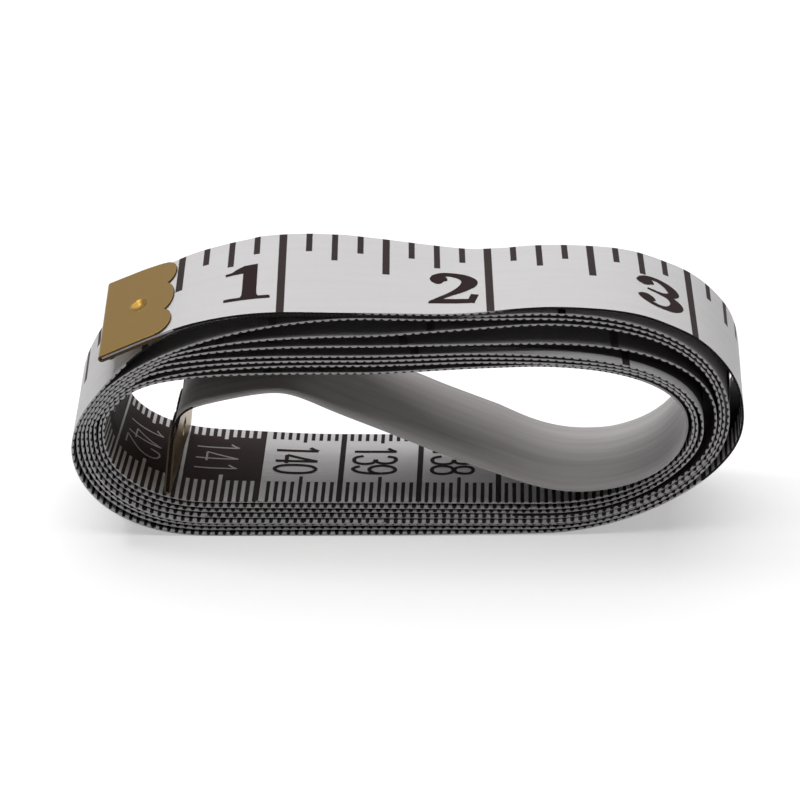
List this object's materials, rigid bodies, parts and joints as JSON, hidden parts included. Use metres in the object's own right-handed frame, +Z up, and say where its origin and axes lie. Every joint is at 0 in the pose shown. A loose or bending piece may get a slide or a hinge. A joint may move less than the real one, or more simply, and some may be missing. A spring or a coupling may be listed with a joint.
{
  "type": "cloth tape measure",
  "caption": "Printed cloth tape measure wound into a loose oval coil, inch marks outside and centimetre marks inside, with a folded brass clip on each end.",
  "frame": {"origin": "on the surface that the coil lies on, under the middle of the coil", "axes": "+Z up, +X along the coil's long side to the right as the outer face's numbers read, +Y along the coil's axis away from the viewer"},
  "size_m": [0.0814, 0.016, 0.0327],
  "materials": {
    "tape": "satin vinyl coat on glass cloth, printed in dark brown-black",
    "brass": "satin brass-plated sheet, slightly tarnished"
  },
  "bodies": {
    "coil": {"tape_coil": "tape"},
    "lead_root": {"tape_lead_root": "tape"},
    "lead_middle": {"tape_lead_middle": "tape"},
    "lead_end": {"tape_lead_end": "tape", "outer_end_clip": "brass"},
    "tail": {"tape_tail": "tape"},
    "tail_end": {"tape_tail_end": "tape", "inner_end_clip": "brass"}
  },
  "joints": [
    {"name": "lead_root_bend", "type": "hinge", "parent": "coil", "child": "lead_root", "pos_m": [0.03472, 0, 0.02819], "axis": [0, 1, 0], "range_deg": [0, 60], "stiffness_Nm_per_rad": 0.005},
    {"name": "lead_middle_bend", "type": "hinge", "parent": "lead_root", "child": "lead_middle", "pos_m": [0.00672, 0, 0.03115], "axis": [0, 1, 0], "range_deg": [0, 60], "stiffness_Nm_per_rad": 0.005},
    {"name": "lead_end_bend", "type": "hinge", "parent": "lead_middle", "child": "lead_end", "pos_m": [-0.0179, 0, 0.0322], "axis": [0, 1, 0], "range_deg": [0, 60], "stiffness_Nm_per_rad": 0.005},
    {"name": "tail_bend", "type": "hinge", "parent": "coil", "child": "tail", "pos_m": [0.00762, 0, 0.01019], "axis": [0, 1, 0], "range_deg": [0, 2], "stiffness_Nm_per_rad": 0.005},
    {"name": "tail_end_bend", "type": "hinge", "parent": "tail", "child": "tail_end", "pos_m": [-0.02718, 0, 0.01573], "axis": [0, 1, 0], "range_deg": [-60, 5], "stiffness_Nm_per_rad": 0.005}
  ]
}
